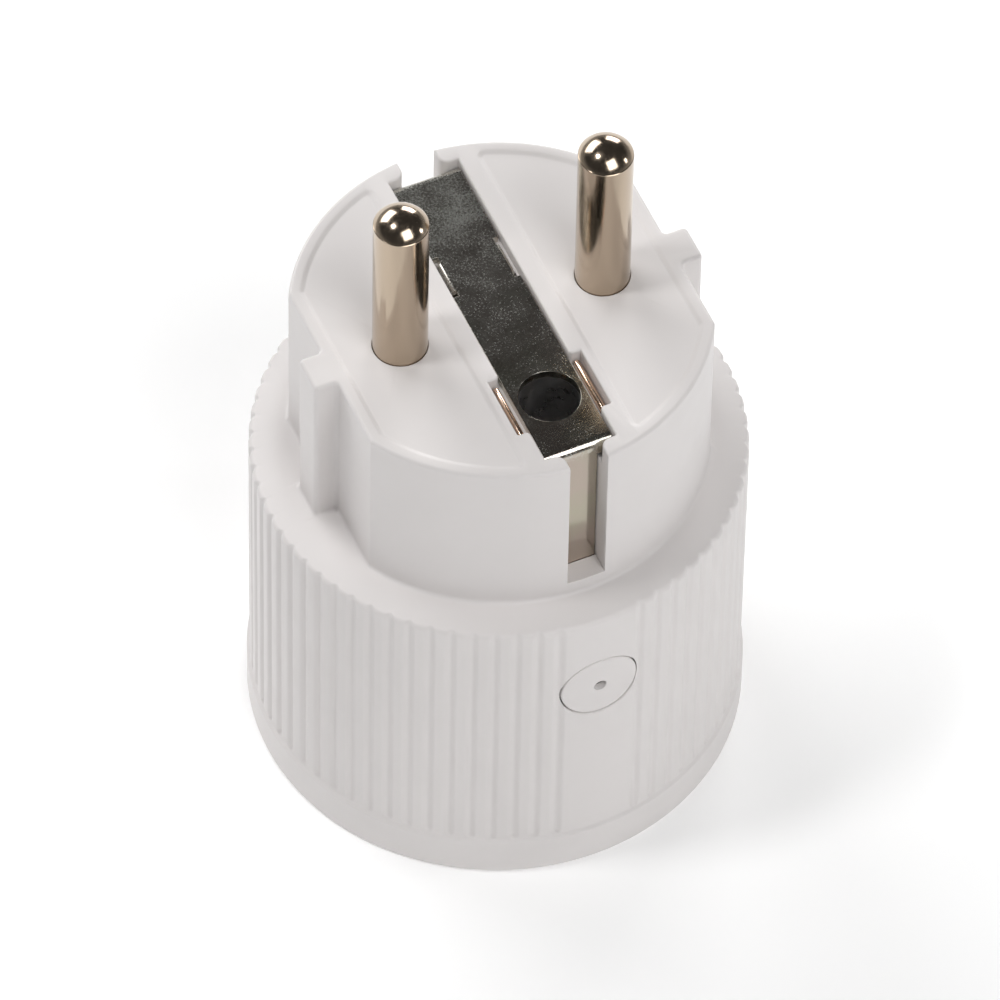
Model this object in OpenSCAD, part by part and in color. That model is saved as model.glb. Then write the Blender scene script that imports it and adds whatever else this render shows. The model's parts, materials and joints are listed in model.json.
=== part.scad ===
// Round mains smart plug with a fluted sleeve, a plug nose on top and a socket recess underneath.
// The origin is the centre of the socket rim, +Z points along the plug pins and -Y faces the button.

/* [Housing] */
// Height of the housing from the socket rim to the plug face
housing_h = 52.2; // [50:0.1:54]
// Height of the plug nose above the shoulder
nose_h = 17.5; // [16.5:0.1:18.5]
// Radius of the plug nose
nose_r = 18.33; // [18.2:0.01:18.45]
// Distance across the two flats of the nose
nose_flats = 32.2; // [31.8:0.1:32.6]
// Distance across the two guide ribs on the flats
nose_ribs = 36.4; // [36:0.1:36.6]
// Width of a guide rib
rib_w = 3.6; // [3.2:0.1:4]
// Radius of the fluted sleeve at its crests
sleeve_r = 21.75; // [21.6:0.05:22]
// Radius of the plain band at the socket end
band_r = 22; // [22:0.05:22.2]
// Height of the plain band
band_h = 4.7; // [3:0.1:6]
// Number of flutes in a full turn
flute_count = 72; // [72:36:108]
// Depth of a flute
flute_depth = 0.25; // [0.1:0.05:0.35]
// Wall of the sleeve
wall = 1.35; // [1.2:0.05:1.5]

/* [Plug] */
// Distance between the two pins
pin_pitch = 19; // [19:0.1:19.2]
// Pin diameter
pin_d = 4.8; // [4.7:0.01:4.86]
// Free length of a pin
pin_len = 17.75; // [17:0.05:19.5]
// Height of the rounded end of a pin
dome_h = 1.35; // [1:0.05:2]
// Width of the earth strap
strap_w = 6.3; // [6:0.1:6.6]
// Thickness of the earth strap
strap_t = 0.8; // [0.6:0.1:0.8]
// Distance from the centre to the earth hole
earth_y = 10; // [9.8:0.1:10.2]
// Diameter of the earth hole
earth_d = 5.4; // [5.2:0.1:5.4]
// Depth of the earth well below the strap
earth_depth = 14; // [13:0.5:14.5]

/* [Socket] */
// Depth of the socket recess
recess_h = 17.5; // [17:0.1:17.5]
// Radius of the socket recess
recess_r = 19.4; // [19.2:0.05:19.4]
// Diameter of the socket's pin holes
hole_d = 5.5; // [5.3:0.1:5.6]

/* [Controls] */
// Diameter of the button
button_d = 7.1; // [6.5:0.1:7.2]
// Height of the button's centre
button_z = 24.8; // [24.6:0.1:25]
// Travel of the button
button_travel = 0.4; // [0.2:0.05:0.4]
// Travel of the safety shutter
shutter_travel = 6; // [5.9:0.1:6]

/* [Hidden] */
$fn = 96;
eps = 0.01;

// Levels
shoulder_z = housing_h - nose_h;
shoulder_drop = 0.5;
shoulder_under = shoulder_z - 1.5;
rim_z = housing_h + 0.2;
roof_z = housing_h - 2.8;
strap_top = housing_h - 0.4;
strap_under = strap_top - strap_t;
ledge_z = housing_h - 16;
well_floor = strap_top - earth_depth - 0.9;
floor_t = 2;
cup_top = recess_h + floor_t;
board_t = 1.2;
board_z = cup_top + 4.5;
board_top = board_z + board_t;

// Radii and half widths
pin_x = pin_pitch / 2;
pin_r = pin_d / 2;
shank_r = pin_r + 0.2;
shank_top = housing_h + 0.1;
dome_z = housing_h + pin_len - dome_h;
dome_r = (pow(pin_r, 2) + pow(dome_h, 2)) / (2 * dome_h);
collar_r = 3.4;
collar_h = 1.2;
tag_t = 0.8;
tag_z = roof_z - collar_h - tag_t;
tag_r = 2.9;
tail_hole_r = 1.52;
sleeve_in = sleeve_r - wall;
cup_r = sleeve_in - 0.05;
flute_w = 0.9;
flute_r = (pow(flute_w / 2, 2) + pow(flute_depth, 2)) / (2 * flute_depth);
plain_flutes = 1;
nose_wall = 1.6;
slot_w = 3.46;
leg_w = 3.3;
leg_out = 16.3;
leg_in = leg_out - strap_t;
strap_bend = 0.9;
wide_end = strap_top - 1.4;
seat_half = strap_w / 2 + 0.15;
seat_end = leg_out + 0.12;
tab_x = 2.7;
tab_y = [3.75, 6.9];
notch = 0.75;
corner_r = 0.9;
play = 0.05;

// Earth pin clip and its pockets beside the strap
clip_x = 3.8;
clip_t = 0.54;
clip_y = 2.8;
pocket = clip_y + 0.3;

// Button and its switch
button_r = button_d / 2;
button_gap = 0.13;
button_face = sleeve_r - 0.05;
flange_y = -19.7;
flange_t = 0.8;
switch_z = button_z - 2.8;
switch_front = -17.5;
stem_end = switch_front - 2 * button_travel - 0.02;
daughter_y = -16;
daughter_t = 0.8;
pipe_r = 0.57;

// Screws, one each side of the centre
screw_pos = [[7.6, 15.2], [-7.6, -15.2]];
boss_r = 2.6;
post_r = 3.1;

// Safety shutter
shutter_z = cup_top + 0.1;
shutter_t = 3.4;
pad_w = 6.6;
pad_y = 3.1;
web_y = 1.6;
rail_x = 13;
rail_front = -4;
rail_back = pad_y + shutter_travel + 0.5;
rail_top = cup_top + 4.2;
spring_wall = 13.2;
spring_z = shutter_z + shutter_t / 2;

// Socket earth bracket
bracket_t = 0.6;
bracket_y = 17.8;
bracket_w = 5;

// Spring sleeves of the socket
contact_in = 2.45;
contact_out = 3.25;
contact_h = 13;

// Wire of the line pin
lead_r = 0.9;

// Relay, standing on the board
relay_w = 10.2;
relay_l = 18.4;
relay_h = 15.3;
relay_y = -5;
relay_wall = 0.6;
coil_y = relay_y + 13;
hinge_y = relay_y + 17.4;
hinge_z = board_top + 12.1;
pivot_r = 0.35;
contact_y = relay_y + 3.2;
contact_z = hinge_z - 0.9;

white = [0.86, 0.84, 0.83];
nickel = [0.72, 0.68, 0.62];
bronze = [0.70, 0.48, 0.28];
board_green = [0.10, 0.36, 0.20];
black = [0.08, 0.08, 0.09];

// ---------- shared shapes ----------

// Box given by its lowest and highest corners
module block(low, high) {
    translate(low) cube(high - low);
}

// Cylinder along Y from y0 to y1, centred at x, z
module along_y(x, z, y0, y1, r) {
    translate([x, y0, z]) rotate([-90, 0, 0]) cylinder(h = y1 - y0, r = r);
}

// Cylinder along X from x0 to x1, centred at y, z
module along_x(y, z, x0, x1, r) {
    translate([x0, y, z]) rotate([0, 90, 0]) cylinder(h = x1 - x0, r = r);
}

// A profile drawn in Y and Z, made w wide across X
module across_x(w) {
    rotate([90, 0, 90]) translate([0, 0, -w / 2]) linear_extrude(w) children();
}

// Copy of the children at the front and turned to the back
module both_ends() {
    children();
    rotate([0, 0, 180]) children();
}

// ---------- housing ----------

// Plan of the nose, grown or shrunk by d
module nose_plan(d) {
    intersection() {
        circle(nose_r + d);
        square([nose_flats + 2 * d, 3 * nose_r], center = true);
    }
}

module nose_outer() {
    translate([0, 0, shoulder_z - 1]) linear_extrude(rim_z - shoulder_z + 1) {
        nose_plan(0);
        square([nose_ribs, rib_w], center = true);
    }
}

// Fluted sleeve with the plain band below and the sloping shoulder above
module sleeve_outer() {
    edge = 0.4;
    low = shoulder_z - shoulder_drop;
    rotate_extrude() polygon([
        [0, 0], [band_r - edge, 0], [band_r, edge], [band_r, band_h - edge],
        [sleeve_r, band_h], [sleeve_r, low - edge], [sleeve_r - edge, low],
        [nose_r, shoulder_z], [0, shoulder_z]
    ]);
}

// The flutes leave a plain strip for the button at the front
module flutes() {
    pitch = 360 / flute_count;
    plain = plain_flutes + 1;
    for (i = [plain : flute_count - plain])
        rotate([0, 0, i * pitch - 90])
            translate([sleeve_r - flute_depth + flute_r, 0, band_h])
                cylinder(h = shoulder_z - band_h + 1, r = flute_r, $fn = 24);
}

// D-shaped shallow panel around one pin
module face_panel(side) {
    translate([0, 0, housing_h]) linear_extrude(1) intersection() {
        nose_plan(-1.15);
        translate([side * 15.1, 0]) square([20, 3 * nose_r], center = true);
    }
}

// Seat of the strap: its flat, its bent ends, its legs and the lugs of the clip
module strap_seat() {
    block([-seat_half, -seat_end, strap_under], [seat_half, seat_end, rim_z + 1]);
    both_ends() {
        block([-seat_half, -seat_end, strap_under - 1], [seat_half, -leg_in + 0.7, rim_z]);
        block([-slot_w / 2, -nose_r - 1, ledge_z], [slot_w / 2, -leg_in, rim_z + 1]);
        block([-slot_w / 2, -leg_out - play, shoulder_under - 1], [slot_w / 2, -leg_in + play, rim_z]);
    }
    both_ends() for (side = [-1, 1]) slot_corner(side);
    block([-clip_x - 0.55, -earth_y - pocket, strap_under], [clip_x + 0.55, -earth_y + pocket, rim_z + 1]);
    for (side = [-1, 1]) {
        block([side * (clip_x + 0.12) - 0.42, -earth_y - pocket, roof_z - 1],
              [side * (clip_x + 0.12) + 0.42, -earth_y + pocket, rim_z]);
        block([side * tab_x - 0.4, tab_y[0] - 0.15, roof_z - 1],
              [side * tab_x + 0.4, tab_y[1] + 0.15, rim_z - 1]);
    }
}

// Rounds the wall's corner between the seat and the slot
module slot_corner(side) {
    x = side * (slot_w / 2 + corner_r);
    y = -seat_end - corner_r;
    difference() {
        block([min(x, side * (slot_w / 2 - 0.2)), y, strap_under - 1],
              [max(x, side * (slot_w / 2 - 0.2)), y + corner_r + 0.2, rim_z + 1]);
        translate([x, y, strap_under - 2]) cylinder(h = 5, r = corner_r);
    }
}

// Inner space of the nose, leaving the walls behind the side slots
module nose_space() {
    translate([0, 0, shoulder_under - 1]) linear_extrude(roof_z - shoulder_under + 1) difference() {
        nose_plan(-nose_wall);
        for (side = [-1, 1])
            translate([0, side * 18.1]) square([slot_w + 3.2, 8], center = true);
    }
}

// Tube that receives the earth pin of a wall socket
module earth_well() {
    translate([0, -earth_y, well_floor - 1.2]) cylinder(h = roof_z - well_floor + 1.2, r = 3.45);
}

module plug_housing() {
    color(white) difference() {
        union() {
            difference() {
                union() {
                    sleeve_outer();
                    nose_outer();
                }
                flutes();
                translate([0, 0, -1]) cylinder(h = shoulder_under + 1, r = sleeve_in);
                nose_space();
                for (side = [-1, 1]) face_panel(side);
            }
            earth_well();
            for (p = screw_pos) translate([p[0], p[1], board_top])
                cylinder(h = shoulder_under - board_top + eps, r = boss_r);
            for (side = [-1, 1]) translate([side * pin_x, 0, roof_z - collar_h])
                cylinder(h = collar_h + eps, r = 4.6);
        }
        strap_seat();
        translate([0, -earth_y, well_floor]) cylinder(h = housing_h, r = earth_d / 2);
        block([-5, -earth_y - 0.95, well_floor + 6], [5, -earth_y + 0.95, well_floor + 10]);
        for (side = [-1, 1]) translate([side * pin_x, 0, 0]) {
            translate([0, 0, roof_z - 3]) cylinder(h = 3, r = collar_r + 0.1);
            translate([0, 0, roof_z - 1]) cylinder(h = 5, r = shank_r + 0.02);
        }
        for (p = screw_pos) translate([p[0], p[1], board_top - 1])
            cylinder(h = 8.2, r = 1.15);
        along_y(0, button_z, -sleeve_r - 1, -sleeve_in + 2, button_r + button_gap);
    }
}

// ---------- plug metalwork ----------

// Pin with a domed end, a collar against the roof and a riveted tail
module plug_pin() {
    translate([0, 0, roof_z]) cylinder(h = shank_top - roof_z, r = shank_r);
    translate([0, 0, shank_top]) cylinder(h = dome_z - shank_top, r = pin_r);
    intersection() {
        translate([0, 0, dome_z - eps]) cylinder(h = dome_h + 1, r = pin_r);
        translate([0, 0, dome_z + dome_h - dome_r]) sphere(r = dome_r);
    }
    translate([0, 0, roof_z - collar_h]) cylinder(h = collar_h, r = collar_r);
    translate([0, 0, tag_z]) cylinder(h = tag_t, r = 1.5);
    translate([0, 0, tag_z - 0.6]) cylinder(h = 0.6, r = 2);
}

module line_pin() {
    color(nickel) translate([-pin_x, 0, 0]) plug_pin();
}

module neutral_pin() {
    color(nickel) translate([pin_x, 0, 0]) plug_pin();
}

// Bent end and leg of the strap at the front; the leg goes down to low
module strap_end(low) {
    intersection() {
        translate([-strap_w / 2, -leg_out + strap_bend, strap_top - strap_bend])
            rotate([0, 90, 0]) difference() {
                cylinder(h = strap_w, r = strap_bend);
                translate([0, 0, -1]) cylinder(h = strap_w + 2, r = strap_bend - strap_t);
            }
        block([-strap_w, -leg_out - 1, strap_top - strap_bend],
              [strap_w, -leg_out + strap_bend, strap_top + 1]);
    }
    block([-strap_w / 2, -leg_out, wide_end], [strap_w / 2, -leg_in, strap_top - strap_bend]);
    block([-leg_w / 2, -leg_out, low], [leg_w / 2, -leg_in, wide_end + eps]);
}

module earth_strap() {
    flat_end = leg_out - strap_bend;
    color(nickel) difference() {
        union() {
            block([-strap_w / 2, -flat_end, strap_under], [strap_w / 2, flat_end, strap_top]);
            strap_end(shoulder_under - 1.7);
            rotate([0, 0, 180]) strap_end(board_z - 2);
            for (side = [-1, 1])
                block([side * tab_x - 0.25, tab_y[0], strap_under - 1.2],
                      [side * tab_x + 0.25, tab_y[1], strap_top]);
        }
        translate([0, -earth_y, strap_under - 1]) cylinder(h = 3, r = earth_d / 2);
        for (side = [-1, 1]) {
            block([side * (tab_x + 0.5) - 0.6, tab_y[0] - notch, strap_under - 2],
                  [side * (tab_x + 0.5) + 0.6, tab_y[0], strap_top + 1]);
            block([side * (tab_x + 0.5) - 0.6, tab_y[1], strap_under - 2],
                  [side * (tab_x + 0.5) + 0.6, tab_y[1] + notch, strap_top + 1]);
            block([side * (tab_x + 0.6) - 0.35, tab_y[0] - notch, strap_under - 2],
                  [side * (tab_x + 0.6) + 0.35, tab_y[1] + notch, strap_top + 1]);
        }
        along_y(0, board_top + 1.4, leg_in - 1, leg_out + 1, 0.8);
    }
}

// U of spring bronze around the earth well, its upper ends beside the strap
module earth_pin_clip() {
    top = strap_top - 0.45;
    bottom = well_floor - 1.8;
    color(bronze) for (side = [-1, 1]) {
        translate([side * clip_x, -earth_y, 0]) {
            block([-clip_t / 2, -clip_y, bottom], [clip_t / 2, clip_y, top]);
            along_y(0, top, -clip_y, clip_y, clip_t / 2);
        }
        block([side * 3.2 - 0.45, -earth_y - 0.85, well_floor + 7],
              [side * 3.2 + 0.45, -earth_y + 0.85, well_floor + 9]);
        block([side * 2 - 2, -earth_y - clip_y, bottom], [side * 2 + 2, -earth_y + clip_y, bottom + 0.5]);
    }
}

// ---------- button ----------

module power_button() {
    color(white) difference() {
        union() {
            intersection() {
                along_y(0, button_z, -sleeve_r - 1, flange_y + eps, button_r);
                cylinder(h = housing_h, r = button_face);
            }
            along_y(0, button_z, flange_y, flange_y + flange_t, button_r + 0.8);
            along_y(0, switch_z, flange_y + flange_t - eps, stem_end, 1.1);
        }
        along_y(0, button_z, -sleeve_r - 1, flange_y + 3, pipe_r + 0.01);
    }
}

module light_pipe() {
    color([0.9, 0.95, 1, 0.6]) along_y(0, button_z, -button_face + 0.6, switch_front + 0.2, pipe_r);
}

module button_board() {
    color(board_green)
        block([-4.4, daughter_y, cup_top + 0.2], [4.4, daughter_y + daughter_t, shoulder_under - 2.2]);
}

module switch_body() {
    color(black) difference() {
        block([-1.85, switch_front, switch_z - 1.85], [1.85, daughter_y, switch_z + 1.85]);
        along_y(0, switch_z, switch_front - 1, switch_front + 1, 0.95);
    }
}

module switch_plunger() {
    color([0.75, 0.73, 0.70]) along_y(0, switch_z, stem_end + 0.02, switch_front + 0.55, 0.9);
}

module status_led() {
    color([0.95, 0.95, 0.85])
        block([-0.8, daughter_y - 0.8, button_z - 0.4], [0.8, daughter_y, button_z + 0.4]);
}

// ---------- socket ----------

// Space inside the recess, with flats and rib grooves like a plug's nose
module recess_space() {
    translate([0, 0, -1]) linear_extrude(recess_h + 1) {
        intersection() {
            circle(recess_r);
            square([33.4, 3 * recess_r], center = true);
        }
        square([38, 4.6], center = true);
    }
    translate([0, 0, -eps]) cylinder(h = 0.8, r1 = recess_r + 0.5, r2 = recess_r - 0.3);
}

// Rails, spring wall and screw posts on the back of the floor
module cup_back() {
    for (side = [-1, 1]) {
        block([side * (rail_x + 0.6) - 0.6, rail_front, cup_top - eps],
              [side * (rail_x + 0.6) + 0.6, rail_back, rail_top]);
        block([side * (rail_x - 0.2) - 0.4, rail_front, shutter_z + shutter_t + 0.12],
              [side * (rail_x - 0.2) + 0.4, rail_back, rail_top]);
    }
    block([-5, spring_wall, cup_top - eps], [5, spring_wall + 1.2, cup_top + 3.3]);
    along_y(0, spring_z, spring_wall - 1.2, spring_wall + eps, 0.9);
    intersection() {
        for (p = screw_pos) translate([p[0], p[1], recess_h])
            cylinder(h = board_z - recess_h, r = post_r);
        cylinder(h = housing_h, r = cup_r);
    }
}

module socket_cup() {
    strip = bracket_w / 2 + play;
    color(white) difference() {
        union() {
            difference() {
                cylinder(h = cup_top, r = cup_r);
                recess_space();
            }
            cup_back();
        }
        for (side = [-1, 1]) translate([side * pin_x, 0, recess_h - 1])
            cylinder(h = floor_t + 2, r = hole_d / 2);
        block([-strip, -bracket_y - 0.7, cup_top - bracket_t], [strip, bracket_y + 0.7, cup_top]);
        both_ends() block([-strip, -bracket_y - 0.7, recess_h - 1], [strip, -bracket_y + play, cup_top]);
        for (p = screw_pos) translate([p[0], p[1], 0]) {
            translate([0, 0, recess_h - 1]) cylinder(h = 2.8, r = 2.35);
            cylinder(h = board_z + 1, r = 1.3);
        }
    }
}

// Side spring of the socket, bulging inwards to meet the strap in a plug's side slot
module earth_spring() {
    out = bracket_y + 0.6;
    color(bronze) both_ends() {
        block([-bracket_w / 2, -out, recess_h - 2.5], [bracket_w / 2, -bracket_y, cup_top]);
        across_x(3) polygon([
            [-out, recess_h - 2.5], [-bracket_y, recess_h - 2.5], [-15.9, 9.6], [-15.9, 7.4],
            [-18.1, 2.6], [-18.8, 2.9], [-16.5, 7.6], [-16.5, 9.4]
        ]);
    }
}

module socket_earth_bracket() {
    earth_spring();
    color(bronze) difference() {
        union() {
            block([-bracket_w / 2, -bracket_y, cup_top - bracket_t], [bracket_w / 2, bracket_y, cup_top]);
            block([-leg_w / 2, leg_out, cup_top - eps], [leg_w / 2, leg_out + bracket_t, board_top + 3]);
        }
        along_y(0, board_top + 1.4, leg_in - 1, leg_out + 2, 0.8);
    }
}

module earth_rivet() {
    color(nickel) {
        along_y(0, board_top + 1.4, leg_in, leg_out + bracket_t, 0.78);
        along_y(0, board_top + 1.4, leg_in - 0.5, leg_in, 1.3);
        along_y(0, board_top + 1.4, leg_out + bracket_t, leg_out + bracket_t + 0.5, 1.3);
    }
}

// Split spring sleeve for one pin of the inserted plug; the slit faces the given angle
module spring_sleeve(turn) {
    color(bronze) difference() {
        union() {
            translate([0, 0, board_top]) cylinder(h = contact_h, r = contact_out);
            translate([0, 0, board_top]) cylinder(h = 0.6, r = 3.35);
        }
        translate([0, 0, board_top - 1]) cylinder(h = contact_h + 2, r = contact_in);
        rotate([0, 0, turn]) block([0, -0.6, board_top + 2], [5, 0.6, board_top + contact_h + 1]);
    }
}

module line_contact() {
    translate([-pin_x, 0, 0]) spring_sleeve(90);
}

module neutral_contact() {
    translate([pin_x, 0, 0]) spring_sleeve(90);
}

// Slider with a ramp behind each pin hole
module safety_shutter() {
    color([0.93, 0.93, 0.9]) difference() {
        union() {
            for (side = [-1, 1])
                block([side * pin_x - pad_w / 2, -pad_y, shutter_z],
                      [side * pin_x + pad_w / 2, pad_y, shutter_z + shutter_t]);
            block([-pin_x, -web_y, shutter_z], [pin_x, web_y, shutter_z + shutter_t]);
            along_y(0, spring_z, web_y - eps, web_y + 1.5, 0.9);
        }
        for (side = [-1, 1]) translate([side * pin_x, 0, 0]) across_x(5.6)
            polygon([[-pad_y - 1, shutter_z - eps], [-pad_y - 1, shutter_z + 2.6], [1.6, shutter_z - eps]]);
    }
}

// Coil spring of the shutter, drawn as a row of separate rings
module shutter_spring() {
    turns = 8;
    wire = 0.2;
    step = (spring_wall - web_y - 2 * wire) / (turns - 1);
    color([0.75, 0.76, 0.78]) for (i = [0 : turns - 1])
        translate([0, web_y + wire + i * step, spring_z]) rotate([90, 0, 0])
            rotate_extrude() translate([1.25, 0]) circle(wire, $fn = 16);
}

module housing_screws() {
    color([0.7, 0.71, 0.73]) for (p = screw_pos) translate([p[0], p[1], 0]) difference() {
        union() {
            translate([0, 0, recess_h + 0.3]) cylinder(h = 1.5, r = 2.2);
            translate([0, 0, recess_h + 1.8]) cylinder(h = 12, r = 1.1);
        }
        block([-1.4, -0.25, recess_h], [1.4, 0.25, recess_h + 1.1]);
        block([-0.25, -1.4, recess_h], [0.25, 1.4, recess_h + 1.1]);
    }
}

// ---------- electronics ----------

module main_board() {
    color(board_green) translate([0, 0, board_z]) linear_extrude(board_t) difference() {
        circle(19.2);
        translate([0, -20]) square([11, 2 * (20 + daughter_y + daughter_t)], center = true);
        translate([0, 20]) square([5.6, 10], center = true);
        for (side = [-1, 1]) translate([side * pin_x, 0]) circle(3);
        for (p = screw_pos) translate(p) circle(1.6);
    }
}

module relay_case() {
    half = relay_w / 2;
    color([0.10, 0.22, 0.42]) difference() {
        block([-half, relay_y, board_top], [half, relay_y + relay_l, board_top + relay_h]);
        block([-half + relay_wall, relay_y + relay_wall, board_top - 1],
              [half - relay_wall, relay_y + relay_l - relay_wall, board_top + relay_h - relay_wall]);
    }
}

module relay_base() {
    half = relay_w / 2 - relay_wall - play;
    color(black) difference() {
        block([-half, relay_y + relay_wall + play, board_top],
              [half, relay_y + relay_l - relay_wall - play, board_top + 1.4]);
        block([-1.05, contact_y - 1.5, board_top - 1], [1.05, contact_y - 0.9, board_top + 2]);
    }
}

module relay_coil() {
    low = board_top + 2;
    color([0.62, 0.30, 0.14]) translate([0, coil_y, low]) difference() {
        union() {
            cylinder(h = 8.6, r = 3.5);
            cylinder(h = 0.7, r = 4.1);
            translate([0, 0, 7.9]) cylinder(h = 0.7, r = 4.1);
        }
        translate([0, 0, -1]) cylinder(h = 11, r = 1.45);
    }
}

// Core, pole face and L-shaped frame
module relay_yoke() {
    low = board_top + 1.4;
    color([0.6, 0.61, 0.63]) {
        translate([0, coil_y, low]) cylinder(h = hinge_z - 0.8 - low, r = 1.4);
        translate([0, coil_y, board_top + 10.7]) cylinder(h = hinge_z - 0.4 - board_top - 10.7, r = 2.4);
        block([-3.5, coil_y - 3, low], [3.5, hinge_y + 0.3, low + 0.6]);
        block([-3.5, hinge_y - 0.3, low], [3.5, hinge_y + 0.3, hinge_z - pivot_r - play]);
    }
}

// Armature plate on its round pivot, with the leaf spring and the moving contact
module relay_armature() {
    color([0.66, 0.60, 0.50]) {
        block([-3.2, coil_y - 4, hinge_z], [3.2, hinge_y + 0.3, hinge_z + 0.9]);
        along_x(hinge_y, hinge_z, -3.2, 3.2, pivot_r);
        block([-1.8, contact_y - 1, hinge_z + 0.9], [1.8, hinge_y - 1, hinge_z + 1.2]);
        translate([0, contact_y, contact_z]) cylinder(h = hinge_z + 0.9 - contact_z, r = 1);
    }
}

module relay_fixed_contact() {
    gap = 0.8;
    color([0.72, 0.45, 0.25]) {
        block([-1, contact_y - 1.5, board_top], [1, contact_y - 0.9, contact_z - gap - 1]);
        block([-1, contact_y - 1.5, contact_z - gap - 1.5], [1, contact_y + 1, contact_z - gap - 1]);
        translate([0, contact_y, contact_z - gap - 1]) cylinder(h = 1, r = 1);
    }
}

module wifi_board() {
    color([0.08, 0.18, 0.35]) block([-13.7, -8.65, board_top], [-12.9, 8.65, board_top + 15]);
}

module wifi_shield() {
    color([0.75, 0.76, 0.77]) block([-15.9, -6, board_top + 0.8], [-13.7, 6, shoulder_under - 0.3]);
}

// Electrolytic capacitor standing on the board, with the groove near its foot
module can(x, y, r, h) {
    translate([x, y, board_top]) rotate_extrude() polygon([
        [0, 0], [r, 0], [r, 1], [r - 0.3, 1.3], [r, 1.6], [r, h - 0.4], [r - 0.4, h], [0, h]
    ]);
}

module input_capacitor() {
    color(black) can(9.7, 8, 4, 12);
}

module filter_capacitor() {
    color(black) can(9.7, -8, 4, 12);
}

module output_capacitor() {
    color([0.12, 0.2, 0.36]) can(16, 4.6, 2.4, 7);
}

module choke() {
    color([0.16, 0.15, 0.15]) translate([-8.6, 8.2, board_top]) {
        cylinder(h = 1, r = 3);
        cylinder(h = 8, r = 2.4);
        translate([0, 0, 7]) cylinder(h = 1, r = 3);
    }
}

module varistor() {
    color([0.12, 0.3, 0.6]) {
        along_x(-9, board_top + 4.6, -10.2, -6.6, 3.5);
        translate([-9.2, -10.6, board_top]) cylinder(h = 2, r = 0.4);
        translate([-7.6, -7.4, board_top]) cylinder(h = 2, r = 0.4);
    }
}

module fuse_resistor() {
    color([0.55, 0.62, 0.5]) {
        along_y(3.2, board_top + 1.6, -13, -6.6, 1.4);
        block([2.9, -14.2, board_top], [3.5, -13.6, board_top + 1.9]);
        along_y(3.2, board_top + 1.6, -14.1, -13 + eps, 0.3);
        block([2.9, -6, board_top], [3.5, -5.4, board_top + 1.9]);
        along_y(3.2, board_top + 1.6, -6.6 - eps, -5.5, 0.3);
    }
}

// Flat chip with legs along both long sides
module chip(x, y, body, legs) {
    translate([x, y, board_top]) {
        block([-body[0] / 2, -body[1] / 2, 0.1], [body[0] / 2, body[1] / 2, body[2]]);
        for (side = [-1, 1], i = [0 : legs - 1]) {
            across = (i - (legs - 1) / 2) * body[1] / legs;
            block([side * (body[0] / 2 + 0.35) - 0.4, across - 0.2, 0],
                  [side * (body[0] / 2 + 0.35) + 0.4, across + 0.2, 0.3]);
        }
    }
}

module bridge_rectifier() {
    color(black) chip(-2, -7.6, [3.8, 4.7, 2.4], 2);
}

module power_regulator() {
    color(black) chip(-2, -12.4, [3.8, 4, 1.5], 4);
}

// Flat rail from the neutral pin's tail down the side to the board
module neutral_busbar() {
    high = tag_z + tag_t;
    color(bronze) difference() {
        union() {
            translate([pin_x, 0, tag_z]) cylinder(h = tag_t, r = tag_r);
            block([pin_x, -2, tag_z], [13.9, 2, high]);
            block([13.1, -2, board_top], [13.9, 2, high]);
        }
        translate([pin_x, 0, tag_z - 1]) cylinder(h = 4, r = tail_hole_r);
    }
}

// Insulated wire from the line pin's tag to the board
module line_lead() {
    route = [
        [-9.5, -3.6, 46.6], [-10.2, -6.6, 45.6], [-11.2, -9, 42], [-11.7, -10.4, 36], [-11.7, -10.4, board_top]
    ];
    color([0.55, 0.08, 0.07]) {
        for (i = [0 : len(route) - 2]) wire_run(route[i], route[i + 1], lead_r);
        for (i = [1 : len(route) - 2]) translate(route[i]) sphere(r = lead_r + 0.05);
    }
    color(bronze) difference() {
        union() {
            translate([-pin_x, 0, tag_z]) cylinder(h = tag_t, r = tag_r);
            block([-pin_x - lead_r, -4.2, tag_z], [-pin_x + lead_r, 0, tag_z + tag_t]);
        }
        translate([-pin_x, 0, tag_z - 1]) cylinder(h = 4, r = tail_hole_r);
    }
}

// Straight round wire from a to b
module wire_run(a, b, r) {
    d = b - a;
    len = norm(d);
    translate(a) rotate([0, acos(d[2] / len), atan2(d[1], d[0])]) cylinder(h = len, r = r);
}

plug_housing();
line_pin();
neutral_pin();
earth_strap();
earth_pin_clip();
power_button();
light_pipe();
socket_cup();
socket_earth_bracket();
earth_rivet();
line_contact();
neutral_contact();
safety_shutter();
shutter_spring();
main_board();
relay_base();
relay_case();
relay_coil();
relay_yoke();
relay_armature();
relay_fixed_contact();
wifi_board();
wifi_shield();
button_board();
switch_body();
switch_plunger();
status_led();
input_capacitor();
filter_capacitor();
output_capacitor();
choke();
varistor();
fuse_resistor();
bridge_rectifier();
power_regulator();
neutral_busbar();
line_lead();
housing_screws();
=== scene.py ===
"""Looks of the smart plug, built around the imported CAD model.

Shapes are drawn in millimetres in the CAD frame and turned into metres when a piece is made.
"""

import json
import math

import bmesh
import bpy
from mathutils import Matrix, Vector

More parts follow.
